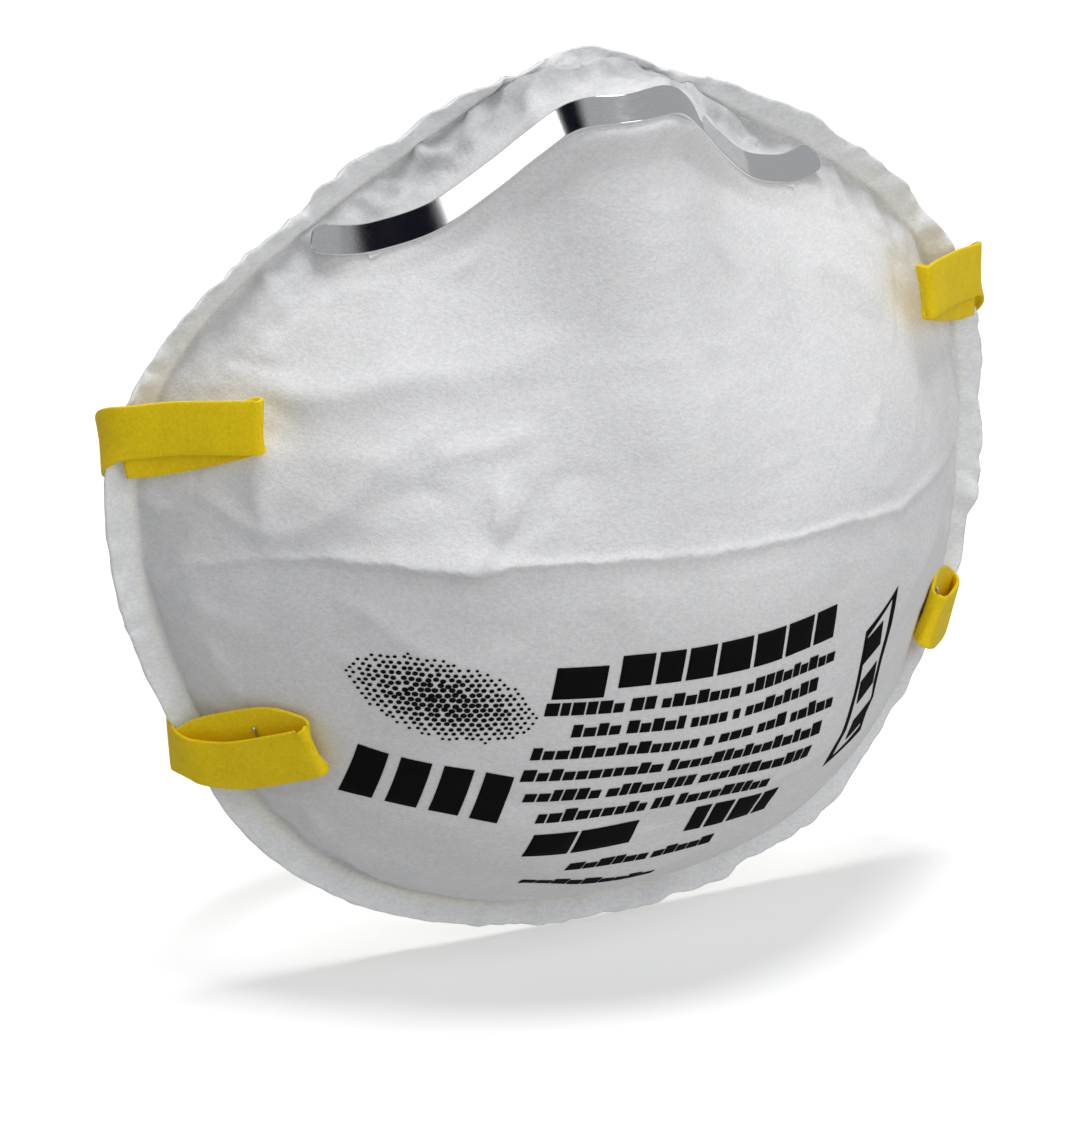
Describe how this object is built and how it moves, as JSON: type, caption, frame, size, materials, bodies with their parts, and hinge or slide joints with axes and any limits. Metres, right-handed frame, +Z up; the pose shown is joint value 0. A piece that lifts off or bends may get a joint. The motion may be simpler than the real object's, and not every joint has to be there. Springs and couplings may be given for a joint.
{
  "type": "disposable dust mask",
  "caption": "Cup-shaped disposable dust mask with a welded rim, a bendable nose clip, a foam nose pad and two elastic head straps that swing from stapled ends.",
  "frame": {"origin": "centre of the face opening, on the line where the rim lies furthest back at cheek height", "axes": "+X to the right seen from the front, +Y back towards the face, +Z up to the nose"},
  "size_m": [0.1328, 0.0872, 0.125],
  "materials": {
    "cover": "matte white nonwoven",
    "filter": "fluffy white melt-blown web",
    "shell": "stiff moulded white nonwoven",
    "rim": "pressed and welded edge",
    "clip": "bright rolled strip",
    "glue": "milky hot melt",
    "foam": "soft open-cell foam",
    "staple": "bright wire",
    "strap": "matte yellow elastic band"
  },
  "bodies": {
    "mask_body": {"cover_web": "cover", "filter_web": "filter", "moulded_shell": "shell", "welded_rim": "rim", "nose_clip": "clip", "clip_glue": "glue", "nose_foam": "foam", "upper_right_strap_end": "strap", "upper_right_staple": "staple", "upper_left_strap_end": "strap", "upper_left_staple": "staple", "lower_right_strap_end": "strap", "lower_right_staple": "staple", "lower_left_strap_end": "strap", "lower_left_staple": "staple"},
    "upper_strap": {"upper_strap_loop": "strap"},
    "lower_strap": {"lower_strap_loop": "strap"}
  },
  "joints": [
    {"name": "upper_strap_swing", "type": "hinge", "parent": "mask_body", "child": "upper_strap", "pos_m": [0, 0.003, 0.016], "axis": [1, 0, 0], "range_deg": [-25, 85], "stiffness_Nm_per_rad": 0.02},
    {"name": "lower_strap_swing", "type": "hinge", "parent": "mask_body", "child": "lower_strap", "pos_m": [0, 0.003, -0.031], "axis": [1, 0, 0], "range_deg": [-60, 25], "stiffness_Nm_per_rad": 0.02}
  ]
}
